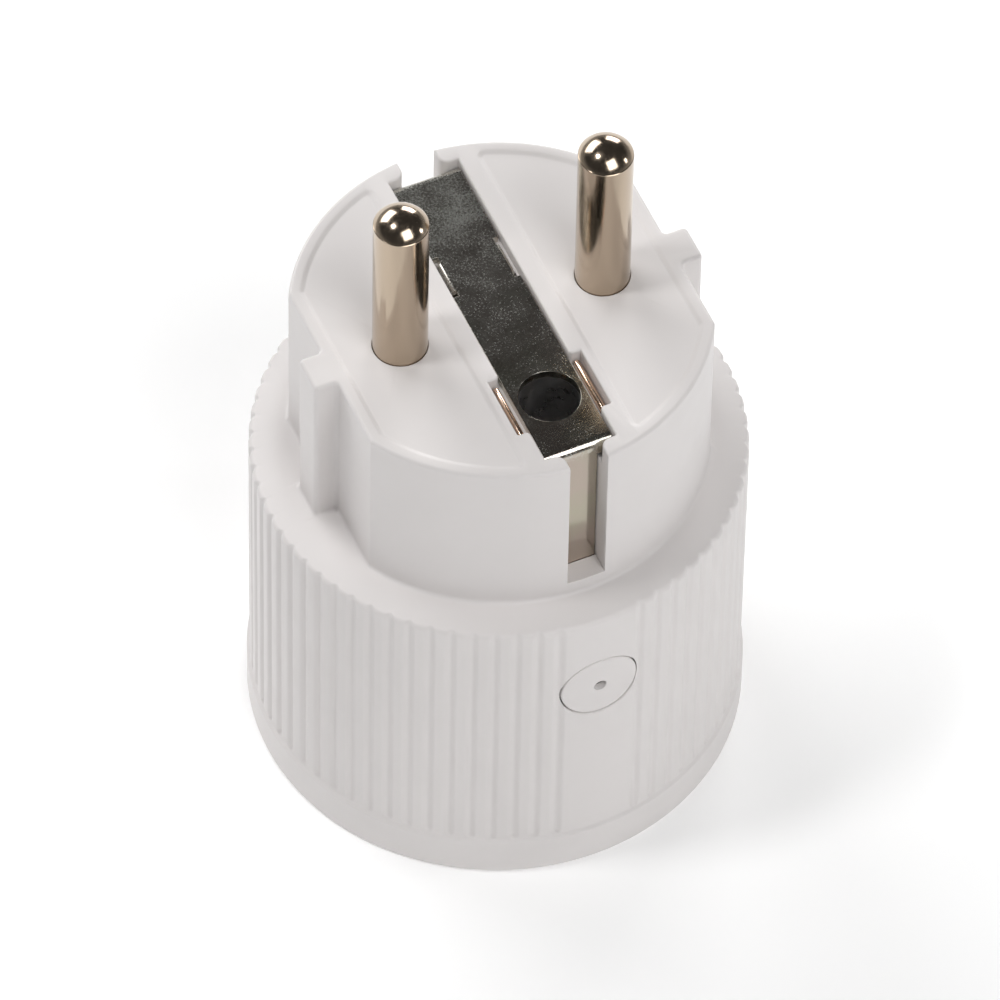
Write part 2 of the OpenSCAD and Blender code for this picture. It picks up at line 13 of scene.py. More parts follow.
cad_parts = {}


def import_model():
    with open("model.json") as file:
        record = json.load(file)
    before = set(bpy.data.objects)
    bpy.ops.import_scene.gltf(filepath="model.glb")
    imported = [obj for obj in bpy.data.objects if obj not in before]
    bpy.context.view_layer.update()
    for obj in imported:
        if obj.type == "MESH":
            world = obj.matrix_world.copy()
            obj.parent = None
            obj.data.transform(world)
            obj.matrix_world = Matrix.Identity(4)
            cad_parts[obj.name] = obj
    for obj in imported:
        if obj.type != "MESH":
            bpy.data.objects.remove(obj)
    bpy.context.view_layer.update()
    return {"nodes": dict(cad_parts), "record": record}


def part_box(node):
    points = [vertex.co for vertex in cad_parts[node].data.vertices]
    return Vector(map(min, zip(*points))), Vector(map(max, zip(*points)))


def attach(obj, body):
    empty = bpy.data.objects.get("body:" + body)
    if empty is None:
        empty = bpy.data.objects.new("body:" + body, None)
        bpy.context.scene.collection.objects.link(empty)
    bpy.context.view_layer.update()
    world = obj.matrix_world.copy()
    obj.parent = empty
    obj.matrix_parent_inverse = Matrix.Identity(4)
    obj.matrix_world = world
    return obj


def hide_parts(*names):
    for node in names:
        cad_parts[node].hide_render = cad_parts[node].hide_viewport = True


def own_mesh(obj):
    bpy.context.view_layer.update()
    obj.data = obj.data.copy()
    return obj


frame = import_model()

MM = 0.001
STEPS = 6          # segments of a quarter round
HAIR = 0.03        # how far a cutter reaches past the surface it opens


def mm_box(node):
    """Lowest and highest corner of a CAD node, in millimetres."""
    low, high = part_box(node)
    return low / MM, high / MM


# ---------- levels and sizes read from the frame ----------

housing_high = mm_box("plug_housing")[1]
strap_high = mm_box("earth_strap")[1]
button_high = mm_box("power_button")[1]
pin_low, pin_high = mm_box("neutral_pin")
pipe_low, pipe_high = mm_box("light_pipe")
spring_low, spring_high = mm_box("shutter_spring")

RIM_Z = housing_high.z         # border of the plug face
FACE_Z = RIM_Z - 0.2           # floor of the two panels around the pins
SHOULDER_Z = FACE_Z - 17.5     # foot of the nose
ROOF_Z = FACE_Z - 2.8          # underside of the plug face
STRAP_TOP = strap_high.z
STRAP_UNDER = STRAP_TOP - 0.8
LEDGE_Z = FACE_Z - 16          # foot of the side slots
BORE_LOW = LEDGE_Z + 0.7       # bottom of the earth hole
BAND_R = housing_high.x
BAND_H = 4.7
SLEEVE_R = BAND_R - 0.25
SLEEVE_IN = SLEEVE_R - 1.35
SHOULDER_EDGE = SHOULDER_Z - 0.5
SHOULDER_UNDER = SHOULDER_Z - 1.5
NOSE_R = 18.33
FLAT_X = 16.1
RIB_X = 18.2
RIB_Y = 1.8
NOSE_WALL = 1.6
NOSE_CORNER = 0.4              # radius of the nose's outer corners
RIB_ROOT = 0.45                # radius at the foot of a rib
FLUTES = 72
FLUTE_PITCH = 360 / FLUTES     # degrees
FLUTE_HALF = 1.6               # half width of a flute, degrees
FLUTE_DEPTH = 0.25
FLUTE_CROWN = 0.08             # share of the depth that crowns the land between two flutes
PIN_R = 2.4
COLLAR_R = 3.4
COLLAR_H = 1.2
PIN_X = pin_low.x + COLLAR_R
EARTH_Y = -10.0
EARTH_R = 2.7
SLEEVE_T = 0.18                # room in the wall for the earth hole's lining
SLOT_X = 1.73
LEG_OUT = 16.3
LEG_IN = 15.5
SEAT_X = 3.3
SEAT_Y = LEG_OUT + 0.12
LUG_X = 4.35
LUG_Y = 3.1
BUTTON_R = 3.55
FLANGE_R = BUTTON_R + 0.8
BUTTON_Z = button_high.z - FLANGE_R
BOARD_TOP = 25.2
SCREWS = ((7.6, 15.2), (-7.6, -15.2))
FLARE = math.radians(75)       # how far a rounded mouth turns before it runs straight out


# ---------- outlines ----------

def rounded(corners):
    """Closed anticlockwise outline as (point, outward normal) pairs; a corner is (x, y, radius)."""
    result = []
    count = len(corners)
    for i, (x, y, radius) in enumerate(corners):
        here = Vector((x, y))
        into = (here - Vector(corners[i - 1][:2])).normalized()
        out = (Vector(corners[(i + 1) % count][:2]) - here).normalized()
        normal_in = Vector((into.y, -into.x))
        normal_out = Vector((out.y, -out.x))
        turn = math.atan2(into.x * out.y - into.y * out.x, into.dot(out))
        if radius == 0 or abs(turn) < 0.01:
            result.append((here, (normal_in + normal_out) / (1 + normal_in.dot(normal_out))))
            continue
        start = here - into * radius * math.tan(abs(turn) / 2)
        side = 1 if turn > 0 else -1
        centre = start - normal_in * radius * side
        for k in range(STEPS + 1):
            normal = normal_in.copy()
            normal.rotate(Matrix.Rotation(turn * k / STEPS, 2))
            result.append((centre + normal * radius * side, normal))
    return result


def mirrored(half):
    """Full outline from its right half, listed from the front to the back."""
    return rounded(half + [(-x, y, radius) for x, y, radius in reversed(half)])


def circle(x, y, radius, count=96):
    """Round outline as (point, outward normal) pairs."""
    result = []
    for k in range(count):
        turn = 2 * math.pi * k / count
        normal = Vector((math.cos(turn), math.sin(turn)))
        result.append((Vector((x, y)) + normal * radius, normal))
    return result


def offset_ring(outline, distance, z):
    """Outline moved outwards by a distance, at height z."""
    ring = []
    for point, normal in outline:
        moved = point + normal * distance
        ring.append(Vector((moved.x, moved.y, z)))
    return ring


# ---------- meshes ----------

def new_object(name, bm):
    """Object from a closed, consistently wound mesh, turned so that its faces look outwards."""
    mesh = bpy.data.meshes.new(name)
    if bm.calc_volume(signed=True) < 0:
        bmesh.ops.reverse_faces(bm, faces=bm.faces)
    bm.to_mesh(mesh)
    bm.free()
    obj = bpy.data.objects.new(name, mesh)
    bpy.context.scene.collection.objects.link(obj)
    return obj


def stack(name, rings, closed=False):
    """Skin over rings with the same number of points, capped at both ends unless it closes on itself."""
    bm = bmesh.new()
    rows = [[bm.verts.new(p) for p in ring] for ring in rings]
    count = len(rows[0])
    last = len(rows) if closed else len(rows) - 1
    for j in range(last):
        low, high = rows[j], rows[(j + 1) % len(rows)]
        for i in range(count):
            k = (i + 1) % count
            bm.faces.new((low[i], low[k], high[k], high[i]))
    if not closed:
        bm.faces.new(list(reversed(rows[0])))
        bm.faces.new(rows[-1])
    return new_object(name, bm)


def prism(name, outline, low, high):
    """Straight solid over an outline, from low to high."""
    return stack(name, [offset_ring(outline, 0, low), offset_ring(outline, 0, high)])


def flare(radius):
    """Rounded mouth as (growth, height above the surface) pairs; the last one is just past the surface."""
    rows = []
    steps = STEPS - 1
    for k in range(steps + 1):
        turn = FLARE * k / steps
        rows.append((radius * (1 - math.cos(turn)), -radius * (1 - math.sin(turn))))
    grow, height = rows[-1]
    rows.append((grow + (HAIR - height) / math.tan(math.pi / 2 - FLARE), HAIR))
    return rows


def flared(name, outline, low, mouth, radius):
    """Cutter over an outline from low up to its mouth, where it flares out and leaves a rounded edge."""
    rings = [offset_ring(outline, 0, low)]
    for grow, height in flare(radius):
        rings.append(offset_ring(outline, grow, mouth + height))
    return stack(name, rings)


def box(name, low, high):
    """Block between two corners."""
    bm = bmesh.new()
    bmesh.ops.create_cube(bm, size=1)
    size = Vector(high) - Vector(low)
    centre = (Vector(high) + Vector(low)) / 2
    bm.transform(Matrix.Translation(centre) @ Matrix.Diagonal((size.x, size.y, size.z, 1)))
    return new_object(name, bm)


def lathe(name, profile, centre=(0, 0, 0), axis="Z", count=96):
    """Solid of revolution over a closed profile of (radius, height) points; the ends lie on the axis."""
    bm = bmesh.new()
    rings = []
    for radius, height in profile:
        if radius < 1e-6:
            rings.append([bm.verts.new((0, 0, height))])
            continue
        ring = []
        for k in range(count):
            turn = 2 * math.pi * k / count
            ring.append(bm.verts.new((radius * math.cos(turn), radius * math.sin(turn), height)))
        rings.append(ring)
    for low, high in zip(rings, rings[1:]):
        for k in range(count):
            n = (k + 1) % count
            if len(low) == 1:
                bm.faces.new((low[0], high[n], high[k]))
            elif len(high) == 1:
                bm.faces.new((low[k], low[n], high[0]))
            else:
                bm.faces.new((low[k], low[n], high[n], high[k]))
    if axis == "Y":
        bm.transform(Matrix.Rotation(-math.pi / 2, 4, "X"))
    bm.transform(Matrix.Translation(Vector(centre)))
    return new_object(name, bm)


def arc(cx, cz, radius, start, end, steps=STEPS):
    """Points of an arc in a profile, angles in degrees."""
    points = []
    for k in range(steps + 1):
        turn = math.radians(start + (end - start) * k / steps)
        points.append((cx + radius * math.cos(turn), cz + radius * math.sin(turn)))
    return points


def chamfered(radius, low, high, soft=0.1):
    """Profile points of a disc with both its edges chamfered."""
    return [(radius - soft, low), (radius, low + soft), (radius, high - soft), (radius - soft, high)]


def combine(obj, others, operation):
    """Boolean of obj with each of the others, which are used up."""
    for other in others:
        modifier = obj.modifiers.new("boolean", "BOOLEAN")
        modifier.operation = operation
        modifier.solver = "MANIFOLD"
        modifier.object = other
        depsgraph = bpy.context.evaluated_depsgraph_get()
        mesh = bpy.data.meshes.new_from_object(obj.evaluated_get(depsgraph))
        obj.modifiers.clear()
        old = obj.data
        obj.data = mesh
        bpy.data.meshes.remove(old)
        bpy.data.objects.remove(other)
    return obj


def cut(obj, *others):
    return combine(obj, others, "DIFFERENCE")


def weld(obj, *others):
    return combine(obj, others, "UNION")


def smooth(obj, angle=32):
    """Smooth shading that keeps edges sharper than the angle."""
    mesh = obj.data
    mesh.shade_smooth()
    mesh.set_sharp_from_angle(angle=math.radians(angle))
    modifier = obj.modifiers.new("normals", "WEIGHTED_NORMAL")
    modifier.keep_sharp = True
    modifier.weight = 100


def place(obj, body, slot, node=None, angle=32):
    """Finish a piece drawn in millimetres: into metres, smooth, on its body, in place of any CAD node."""
    obj.data.transform(Matrix.Scale(MM, 4))
    smooth(obj, angle)
    paint(obj, slot)
    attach(obj, body)
    if node:
        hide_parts(node)
    return obj


# ---------- materials ----------

class Nodes:
    """Small helper that adds linked shader nodes to one material."""

    def __init__(self, name):
        self.material = bpy.data.materials.new(name)
        self.material.use_nodes = True
        self.tree = self.material.node_tree
        self.shader = self.tree.nodes["Principled BSDF"]
        coordinates = self.tree.nodes.new("ShaderNodeTexCoord")
        self.coordinates = coordinates.outputs["Object"]

    def link(self, source, target):
        self.tree.links.new(source, target)

    def stretched(self, scale):
        mapping = self.tree.nodes.new("ShaderNodeMapping")
        mapping.inputs["Scale"].default_value = scale
        self.link(self.coordinates, mapping.inputs["Vector"])
        return mapping.outputs["Vector"]

    def noise(self, size, detail=4, rough=0.55, stretch=(1, 1, 1)):
        """Noise whose blotches are about size millimetres across."""
        node = self.tree.nodes.new("ShaderNodeTexNoise")
        node.inputs["Scale"].default_value = 1 / (size * MM)
        node.inputs["Detail"].default_value = detail
        node.inputs["Roughness"].default_value = rough
        self.link(self.stretched(stretch), node.inputs["Vector"])
        return node.outputs["Fac"]

    def ramp(self, source, *stops):
        """Map a value to colours or greys; a stop is (position, grey or colour)."""
        node = self.tree.nodes.new("ShaderNodeValToRGB")
        elements = node.color_ramp.elements
        while len(elements) < len(stops):
            elements.new(0.5)
        for element, (position, value) in zip(elements, stops):
            element.position = position
            grey = isinstance(value, (int, float))
            element.color = (value, value, value, 1) if grey else (*value, 1)
        self.link(source, node.inputs["Fac"])
        return node.outputs["Color"]

    def maths(self, operation, a, b):
        """Sum or product of a value and a second value or number."""
        node = self.tree.nodes.new("ShaderNodeMath")
        node.operation = operation
        self.link(a, node.inputs[0])
        if hasattr(b, "links"):
            self.link(b, node.inputs[1])
        else:
            node.inputs[1].default_value = b
        return node.outputs["Value"]

    def add(self, a, b):
        return self.maths("ADD", a, b)

    def scale(self, a, factor):
        return self.maths("MULTIPLY", a, factor)

    def along(self, axis, start, end):
        """Value that changes along X, Y or Z; start and end are (millimetres, value)."""
        separate = self.tree.nodes.new("ShaderNodeSeparateXYZ")
        self.link(self.coordinates, separate.inputs[0])
        node = self.tree.nodes.new("ShaderNodeMapRange")
        node.inputs["From Min"].default_value = start[0] * MM
        node.inputs["From Max"].default_value = end[0] * MM
        node.inputs["To Min"].default_value = start[1]
        node.inputs["To Max"].default_value = end[1]
        self.link(separate.outputs[axis], node.inputs["Value"])
        return node.outputs["Result"]

    def mix(self, factor, a, b):
        """Mix of two colours or numbers by a factor."""
        node = self.tree.nodes.new("ShaderNodeMix")
        node.data_type = "RGBA"
        for socket, value in ((node.inputs["Factor"], factor), (node.inputs["A"], a), (node.inputs["B"], b)):
            if hasattr(value, "links"):
                self.link(value, socket)
            elif socket.type == "RGBA":
                socket.default_value = (*value, 1)
            else:
                socket.default_value = value
        return node.outputs["Result"]

    def bump(self, height, strength, depth):
        """Bump from a height, depth in millimetres."""
        node = self.tree.nodes.new("ShaderNodeBump")
        node.inputs["Strength"].default_value = strength
        node.inputs["Distance"].default_value = depth * MM
        self.link(height, node.inputs["Height"])
        self.link(node.outputs["Normal"], self.shader.inputs["Normal"])

    def set(self, **values):
        for name, value in values.items():
            socket = self.shader.inputs[name.replace("_", " ")]
            if hasattr(value, "links"):
                self.link(value, socket)
            else:
                socket.default_value = value


def scaled(colour, factor):
    return tuple(min(1, c * factor) for c in colour)


def moulded(name, colour, rough=0.5, grain=0.12, bump=0.25, tint=0.03):
    """Moulded plastic: fine grain, faint cloudiness and slightly uneven gloss."""
    m = Nodes(name)
    cloud = m.noise(9, detail=3)
    fine = m.noise(grain, detail=2)
    base = m.ramp(cloud, (0.3, scaled(colour, 1 - tint)), (0.7, scaled(colour, 1 + tint)))
    m.set(Base_Color=base, Roughness=m.ramp(m.noise(2.5), (0.3, rough - 0.05), (0.7, rough + 0.06)))
    m.bump(fine, bump, 0.004)
    return m


def metal(name, colour, rough, tint=0.08, size=1.2, stretch=(1, 1, 1), bump=0.1):
    """Plated or rolled metal: uneven colour and gloss, with fine marks."""
    m = Nodes(name)
    cloud = m.noise(size * 3, detail=5, stretch=stretch)
    fine = m.noise(size * 0.25, detail=4, stretch=stretch)
    base = m.ramp(cloud, (0.3, scaled(colour, 1 - tint)), (0.7, scaled(colour, 1 + tint)))
    m.set(Base_Color=base, Metallic=1.0, Roughness=m.ramp(fine, (0.3, rough * 0.7), (0.75, rough * 1.4)))
    m.bump(fine, bump, 0.003)
    return m


def strap_metal(name):
    """Dark bright plate; its fine grey mottling is painted glints of light on the bumpy plate, rougher in the
    same spots, denser at the back and absent on the bent legs.
    """
    m = Nodes(name)
    speckle = m.noise(0.20, detail=5, rough=0.75)
    marks = m.add(m.scale(m.noise(2.2, detail=3), 0.35), speckle)
    # painted glints: more of them towards the back
    marks = m.add(marks, m.along("Y", (-12, -0.03), (16, 0.13)))
    # painted glints fade out down the bent legs
    marks = m.add(marks, m.along("Z", (STRAP_UNDER - 1.5, -0.3), (STRAP_UNDER + 0.2, 0.0)))
    # where the grey spots of painted glint fall
    glint_spots = m.ramp(marks, (0.56, 0.0), (0.86, 1.0))
    patch = m.ramp(m.noise(5, detail=3), (0.45, 0.0), (0.65, 1.0))
    warm = (0.48, 0.41, 0.35)
    olive = (0.45, 0.42, 0.33)
    # grey of the painted glints
    glint_grey = (0.58, 0.58, 0.54)
    base = m.mix(glint_spots, m.mix(patch, warm, olive), glint_grey)
    m.set(Base_Color=base, Metallic=1.0, Roughness=m.ramp(marks, (0.58, 0.12), (0.86, 0.30)))
    m.bump(speckle, 0.12, 0.008)
    return m


def clear(name):
    """Clear plastic tinted with painted shade, as dark as the pinhole looks in the photograph."""
    m = Nodes(name)
    # painted shade: a near-black tint so that the pinhole in the button looks shaded
    base = m.ramp(m.noise(1.5), (0.3, (0.06, 0.065, 0.07)), (0.7, (0.10, 0.11, 0.115)))
    m.set(Base_Color=base, Roughness=0.12, Transmission_Weight=0.85, IOR=1.49)
    m.bump(m.noise(0.2), 0.1, 0.003)
    return m


def board(name, colour):
    """Circuit board: solder resist with faint tracks under it."""
    m = Nodes(name)
    tracks = m.tree.nodes.new("ShaderNodeTexBrick")
    tracks.inputs["Scale"].default_value = 320
    tracks.inputs["Mortar Size"].default_value = 0.03
    tracks.inputs["Color1"].default_value = (*scaled(colour, 0.85), 1)
    tracks.inputs["Color2"].default_value = (*scaled(colour, 1.15), 1)
    tracks.inputs["Mortar"].default_value = (*scaled(colour, 1.7), 1)
    m.link(m.coordinates, tracks.inputs["Vector"])
    m.set(Base_Color=tracks.outputs["Color"], Roughness=m.ramp(m.noise(1.2), (0.3, 0.22), (0.7, 0.36)))
    m.bump(tracks.outputs["Fac"], 0.3, 0.02)
    return m


def wound(name, colour):
    """Enamelled winding: fine turns around Z, with painted shade in the grooves between turns and painted
    highlight on their crests.
    """
    m = Nodes(name)
    wave = m.tree.nodes.new("ShaderNodeTexWave")
    wave.bands_direction = "Z"
    wave.inputs["Scale"].default_value = 900
    wave.inputs["Distortion"].default_value = 0.4
    m.link(m.coordinates, wave.inputs["Vector"])
    # dark and light bands: painted shade in the grooves between turns, painted highlight on their crests
    base = m.ramp(wave.outputs["Fac"], (0.2, scaled(colour, 0.55)), (0.8, scaled(colour, 1.1)))
    m.set(Base_Color=base, Metallic=0.6, Roughness=m.ramp(m.noise(0.8), (0.3, 0.28), (0.7, 0.42)))
    m.bump(wave.outputs["Fac"], 0.5, 0.03)
    return m


slots = {m["slot"]: m["base_color"][:3] for m in frame["record"]["materials"]}

SHELL = (0.735, 0.705, 0.695)

MAKERS = {
    "white_shell": lambda n: moulded(n, SHELL, rough=0.46, grain=0.10, bump=0.22, tint=0.012),
    "white_inner": lambda n: moulded(n, scaled(SHELL, 0.98), rough=0.48, grain=0.12, tint=0.015),
    "pin_nickel": lambda n: metal(n, (0.47, 0.38, 0.29), 0.16, tint=0.06, stretch=(1, 1, 0.12), bump=0.05),
    "strap_nickel": strap_metal,
    "bronze": lambda n: metal(n, (0.78, 0.58, 0.45), 0.20, tint=0.06, size=2.5, bump=0.03),
    "clear": clear,
    "board_green": lambda n: board(n, slots["board_green"]),
    "radio_board": lambda n: board(n, slots["radio_board"]),
    "shield_steel": lambda n: metal(n, slots["shield_steel"], 0.32, tint=0.05, size=4, bump=0.02),
    "relay_blue": lambda n: moulded(n, slots["relay_blue"], rough=0.28, grain=0.3, tint=0.08),
    "black_plastic": lambda n: moulded(n, slots["black_plastic"], rough=0.5, tint=0.2),
    "coil_copper": lambda n: wound(n, slots["coil_copper"]),
    "soft_iron": lambda n: metal(n, slots["soft_iron"], 0.34),
    "spring_steel": lambda n: metal(n, slots["spring_steel"], 0.2),
    "screw_steel": lambda n: metal(n, slots["screw_steel"], 0.26, tint=0.12),
    "shutter_white": lambda n: moulded(n, slots["shutter_white"], rough=0.36, tint=0.015),
    "plunger": lambda n: moulded(n, slots["plunger"], rough=0.42),
    "led_white": lambda n: moulded(n, slots["led_white"], rough=0.22, tint=0.04),
    "can_sleeve": lambda n: moulded(n, slots["can_sleeve"], rough=0.26, grain=0.4, tint=0.25),
    "can_blue": lambda n: moulded(n, slots["can_blue"], rough=0.26, grain=0.4, tint=0.15),
    "ferrite": lambda n: wound(n, slots["ferrite"]),
    "varistor_blue": lambda n: moulded(n, slots["varistor_blue"], rough=0.3, grain=0.5, bump=0.5, tint=0.08),
    "resistor_body": lambda n: moulded(n, slots["resistor_body"], rough=0.6, grain=0.2, bump=0.5, tint=0.08),
    "lead_red": lambda n: moulded(n, slots["lead_red"], rough=0.38, grain=0.25, tint=0.1),
}
finished = {}


def paint(obj, slot):
    """Give obj the material of a slot."""
    if slot not in finished:
        finished[slot] = MAKERS[slot](slot).material
    obj.data.materials.clear()
    obj.data.materials.append(finished[slot])


# ---------- housing ----------

def nose_corners():
    """Centres of the nose's rounded corners in one quadrant: end of the flat, rib and foot of the rib."""
    bend_x = FLAT_X - NOSE_CORNER
    bend = Vector((bend_x, math.sqrt((NOSE_R - NOSE_CORNER) ** 2 - bend_x ** 2)))
    rib = Vector((RIB_X - NOSE_CORNER, RIB_Y - NOSE_CORNER))
    foot = Vector((FLAT_X + RIB_ROOT, RIB_Y + RIB_ROOT))
    return bend, rib, foot


def nose_at(turn):
    """Point and outward normal of the nose outline in the direction of an angle, with rounded corners."""
    x_sign = 1 if math.cos(turn) >= 0 else -1
    y_sign = 1 if math.sin(turn) >= 0 else -1
    a = math.atan2(abs(math.sin(turn)), abs(math.cos(turn)))
    ray = Vector((math.cos(a), math.sin(a)))
    bend, rib, foot = nose_corners()
    if a <= math.atan2(rib.y, RIB_X):
        point, normal = ray * (RIB_X / ray.x), Vector((1, 0))
    elif a <= math.atan2(RIB_Y, rib.x):
        point = on_circle(ray, rib, NOSE_CORNER, 1)
        normal = (point - rib) / NOSE_CORNER
    elif a <= math.atan2(RIB_Y, foot.x):
        point, normal = ray * (RIB_Y / ray.y), Vector((0, 1))
    elif a <= math.atan2(foot.y, FLAT_X):
        point = on_circle(ray, foot, RIB_ROOT, -1)
        normal = (foot - point) / RIB_ROOT
    elif a <= math.atan2(bend.y, FLAT_X):
        point, normal = ray * (FLAT_X / ray.x), Vector((1, 0))
    elif a <= math.atan2(bend.y, bend.x):
        point = on_circle(ray, bend, NOSE_CORNER, 1)
        normal = (point - bend) / NOSE_CORNER
    else:
        point, normal = ray * NOSE_R, ray.copy()
    return Vector((point.x * x_sign, point.y * y_sign)), Vector((normal.x * x_sign, normal.y * y_sign))


def on_circle(ray, centre, radius, side):
    """Where a ray from the origin meets a circle: the far side for 1, the near side for -1."""
    along = ray.dot(centre)
    gap = radius * radius - (centre.length_squared - along * along)
    return ray * (along + side * math.sqrt(max(gap, 0)))


def corner_angles():
    """Angles of the points on the rounded corners of the nose, in degrees, in every quadrant."""
    bend, rib, foot = nose_corners()
    end = math.atan2(bend.y, bend.x)
    points = []
    for k in range(STEPS + 1):
        turn = math.pi / 2 * k / STEPS
        share = end * k / STEPS
        points.append(rib + NOSE_CORNER * Vector((math.cos(turn), math.sin(turn))))
        points.append(foot - RIB_ROOT * Vector((math.cos(turn), math.sin(turn))))
        points.append(bend + NOSE_CORNER * Vector((math.cos(share), math.sin(share))))
    result = []
    for point in points:
        turn = math.degrees(math.atan2(point.y, point.x))
        result += [turn, 180 - turn, 180 + turn, 360 - turn]
    return result


def shell_angles():
    """Angles of the housing's mesh: dense across each flute and at the nose's corners."""
    clear_of_corner = 0.24
    turns = sorted(corner_angles())
    rise = [0.3 * k for k in range(7)]
    samples = rise + [FLUTE_PITCH / 2] + [FLUTE_PITCH - part for part in reversed(rise[1:])]
    for turn in [i * FLUTE_PITCH + part for i in range(FLUTES) for part in samples]:
        if min(abs(turn - other) for other in turns) > clear_of_corner:
            turns.append(turn)
    return [math.radians(t) for t in sorted(turns)]


def flute_at(turn):
    """Share of the flute's depth at an angle; the three places about the button have none."""
    position = (math.degrees(turn) + 90) / FLUTE_PITCH
    nearest = round(position)
    if min(nearest % FLUTES, -nearest % FLUTES) <= 1:
        return 0
    away = abs(position - nearest) * FLUTE_PITCH
    half_pitch = FLUTE_PITCH / 2
    crown = FLUTE_CROWN * ((half_pitch - away) / half_pitch) ** 2
    if away >= FLUTE_HALF:
        return crown
    return crown + (1 - FLUTE_CROWN) * (0.5 + 0.5 * math.cos(math.pi * away / FLUTE_HALF))


def housing_shell():
    """Skin of the housing: inside from the roof down to the socket rim, then outside up to the face."""
    turns = shell_angles()
    flutes = [flute_at(t) for t in turns]
    nose = [nose_at(t) for t in turns]

    def round_ring(radius, z, fade=0.0):
        """Ring of the sleeve; fade is how much of the flute's depth it has."""
        ring = []
        for turn, flute in zip(turns, flutes):
            r = radius - FLUTE_DEPTH * max(0, flute - 1 + fade)
            ring.append(Vector((r * math.cos(turn), r * math.sin(turn), z)))
        return ring

    hub = [(Vector((math.cos(t), math.sin(t))), Vector((0, 0))) for t in turns]
    chamfer = 0.15
    rings = [offset_ring(hub, 0, ROOF_Z)]
    rings += [offset_ring(nose, -NOSE_WALL, ROOF_Z), offset_ring(nose, -NOSE_WALL, SHOULDER_UNDER)]
    rings += [round_ring(SLEEVE_IN, SHOULDER_UNDER), round_ring(SLEEVE_IN, chamfer)]
    rings.append(round_ring(SLEEVE_IN + chamfer, 0))

    band_edge = 0.5
    for r, z in arc(BAND_R - band_edge, band_edge, band_edge, -90, 0):
        rings.append(round_ring(r, z))
    step = BAND_R - SLEEVE_R
    for k in range(STEPS + 1):
        share = k / STEPS
        r = BAND_R - step * (0.5 - 0.5 * math.cos(math.pi * share))
        rings.append(round_ring(r, BAND_H - 0.55 + 0.5 * share))
    for k in range(1, STEPS + 1):
        turn = math.pi / 2 * k / STEPS
        rings.append(round_ring(SLEEVE_R, BAND_H + 0.5 * (1 - math.cos(turn)), math.sin(turn)))
    # two rows between the band and the shoulder
    for z in (14, 24):
        rings.append(round_ring(SLEEVE_R, z, 1))

    sleeve_edge = 0.55
    lean = 82
    steps = 8
    edge_r, edge_z = SLEEVE_R - sleeve_edge, SHOULDER_EDGE - sleeve_edge
    for k, (r, z) in enumerate(arc(edge_r, edge_z, sleeve_edge, 0, lean, steps)):
        rings.append(round_ring(r, z, math.cos(math.radians(lean * k / steps)) ** 0.7))
    fillet = 0.42
    level_r = NOSE_R + fillet + 0.25
    for share in (0.75, 0.5, 0.25):
        r = level_r + (edge_r - level_r) * share
        rings.append(round_ring(r, SHOULDER_Z - (SHOULDER_Z - SHOULDER_EDGE) * share ** 1.4))
    rings.append(round_ring(level_r, SHOULDER_Z))

    for k in range(STEPS + 1):
        turn = math.radians(90 - lean + lean * k / STEPS)
        out = fillet * (1 - math.sin(turn))
        rings.append(offset_ring(nose, out, SHOULDER_Z + fillet * (1 - math.cos(turn))))
    rings.append(offset_ring(nose, 0, SHOULDER_Z + fillet + 0.3))
    rim_edge = 0.35
    for k in range(STEPS + 1):
        turn = math.pi / 2 * k / STEPS
        out = -rim_edge * (1 - math.cos(turn))
        rings.append(offset_ring(nose, out, RIM_Z - rim_edge + rim_edge * math.sin(turn)))
    rings.append(offset_ring(hub, 0, RIM_Z))
    return stack("plug_housing", rings)


def strap_seat():
    """Cutters for the strap's channel, its slots and its lug pockets, with rounded mouths."""
    small = 0.12
    middle = 0.4
    large = 0.9
    far = NOSE_R + 1
    top = STRAP_UNDER + 0.05
    lug_low, lug_high = EARTH_Y - LUG_Y, EARTH_Y + LUG_Y
    entry = [(SLOT_X + 0.35, -far, 0), (SLOT_X, 0.25 - NOSE_R, 0.3)]
    seat = entry + [(SLOT_X, -SEAT_Y, large), (SEAT_X, -SEAT_Y, small)]
    half = seat + [
        (SEAT_X, lug_low, middle), (LUG_X, lug_low, small), (LUG_X, lug_high, small),
        (SEAT_X, lug_high, middle), (SEAT_X, SEAT_Y, small), (SLOT_X, SEAT_Y, large),
        (SLOT_X, NOSE_R - 0.25, 0.3), (SLOT_X + 0.35, far, 0),
    ]
    end = seat + [(SEAT_X, 0.7 - LEG_IN, small)]
    slot = entry + [(SLOT_X, -LEG_IN, 0.1)]
    cutters = [flared("channel", mirrored(half), STRAP_UNDER, RIM_Z, 0.22)]
    for side in (-1, 1):
        for name, shape, low in (("end", end, STRAP_UNDER - 1), ("slot", slot, LEDGE_Z)):
            cutter = prism(name, mirrored(shape), low, top)
            if side > 0:
                cutter.data.transform(Matrix.Rotation(math.pi, 4, "Z"))
            cutters.append(cutter)
        low_y, high_y = sorted((side * (LEG_OUT + 0.05), side * (LEG_IN - 0.05)))
        cutters.append(box("leg_hole", (-SLOT_X, low_y, SHOULDER_UNDER - 1), (SLOT_X, high_y, LEDGE_Z + 0.1)))
        for name, inner, outer, front, back in (
            ("lug_pocket", 3.5, LUG_X - 0.01, lug_low, lug_high),
            ("tab_slot", 2.3, 3.1, 3.6, 7.05),
        ):
            near, away = sorted((side * inner, side * outer))
            cutters.append(box(name, (near, front, ROOF_Z - 1), (away, back, top)))
    return cutters


